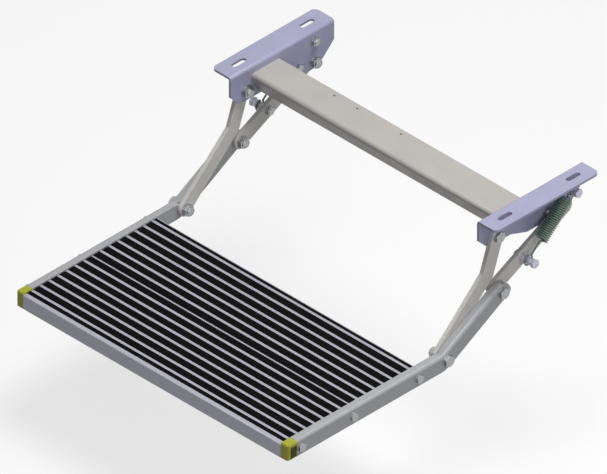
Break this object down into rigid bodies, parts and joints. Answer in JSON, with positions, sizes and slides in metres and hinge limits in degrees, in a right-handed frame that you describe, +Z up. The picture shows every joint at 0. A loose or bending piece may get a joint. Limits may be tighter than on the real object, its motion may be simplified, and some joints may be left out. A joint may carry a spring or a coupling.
{
  "type": "caravan entry step",
  "caption": "Swing-down entry step for a caravan door: slotted chassis brackets and a cross beam carry a sprung four-bar linkage with a ribbed aluminium tread and grip strips.",
  "frame": {"origin": "centre of the four slots in the two brackets, on the brackets' top face", "axes": "+X forward, towards the user, +Y to the step's right-hand side seen from behind it, +Z up"},
  "size_m": [0.6329, 0.59, 0.21],
  "materials": {
    "bracket_paint": "satin",
    "frame_paint": "satin",
    "side_paint": "satin",
    "deck_aluminium": "satin",
    "grip_rubber": "matte",
    "cap_plastic": "satin",
    "spring_paint": "gloss",
    "zinc_steel": "satin",
    "pin_steel": "satin"
  },
  "bodies": {
    "frame": {"left_bracket": "bracket_paint", "right_bracket": "bracket_paint", "cross_beam": "frame_paint", "front_pivot_bolts": "zinc_steel", "front_pivot_nuts": "zinc_steel", "rear_pivot_pins": "zinc_steel", "rear_pivot_nuts": "zinc_steel", "spring_anchor_pins": "pin_steel", "spring_anchor_nuts": "zinc_steel", "stop_pegs": "zinc_steel"},
    "front_arms": {"left_front_arm": "frame_paint", "right_front_arm": "frame_paint"},
    "rear_links": {"left_rear_link": "frame_paint", "right_rear_link": "frame_paint", "spring_pins": "pin_steel", "spring_pin_nuts": "zinc_steel", "upper_pivot_ends": "zinc_steel", "upper_pivot_nuts": "zinc_steel"},
    "tread": {"left_side_member": "side_paint", "right_side_member": "side_paint", "front_plank": "deck_aluminium", "rear_plank": "deck_aluminium", "grip_strips": "grip_rubber", "left_end_cap": "cap_plastic", "right_end_cap": "cap_plastic", "deck_bolts": "zinc_steel", "lower_pivot_bolts": "zinc_steel", "lower_pivot_nuts": "zinc_steel", "upper_pivot_bolts": "zinc_steel"},
    "springs": {"left_spring": "spring_paint", "right_spring": "spring_paint"}
  },
  "joints": [
    {"name": "arm_swing", "type": "hinge", "parent": "frame", "child": "front_arms", "pos_m": [0.0756, 0, -0.038], "axis": [0, 1, 0], "range_deg": [0, 99.88]},
    {"name": "link_swing", "type": "hinge", "parent": "frame", "child": "rear_links", "pos_m": [-0.0654, 0, -0.056], "axis": [0, 1, 0], "range_deg": [0, 140]},
    {"name": "tread_swing", "type": "hinge", "parent": "front_arms", "child": "tread", "pos_m": [0.1956, 0, -0.193], "axis": [0, -1, 0], "range_deg": [0, 113.75]},
    {"name": "spring_swing", "type": "hinge", "parent": "frame", "child": "springs", "pos_m": [-0.0654, 0, -0.019], "axis": [0, 1, 0], "range_deg": [0, 105.98], "deforming": ["left_spring", "right_spring"]}
  ],
  "couplings": [
    {"joint": "link_swing", "follows": "arm_swing", "ratio": 1.4017},
    {"joint": "tread_swing", "follows": "arm_swing", "ratio": 1.1389},
    {"joint": "spring_swing", "follows": "arm_swing", "ratio": 1.0611}
  ]
}
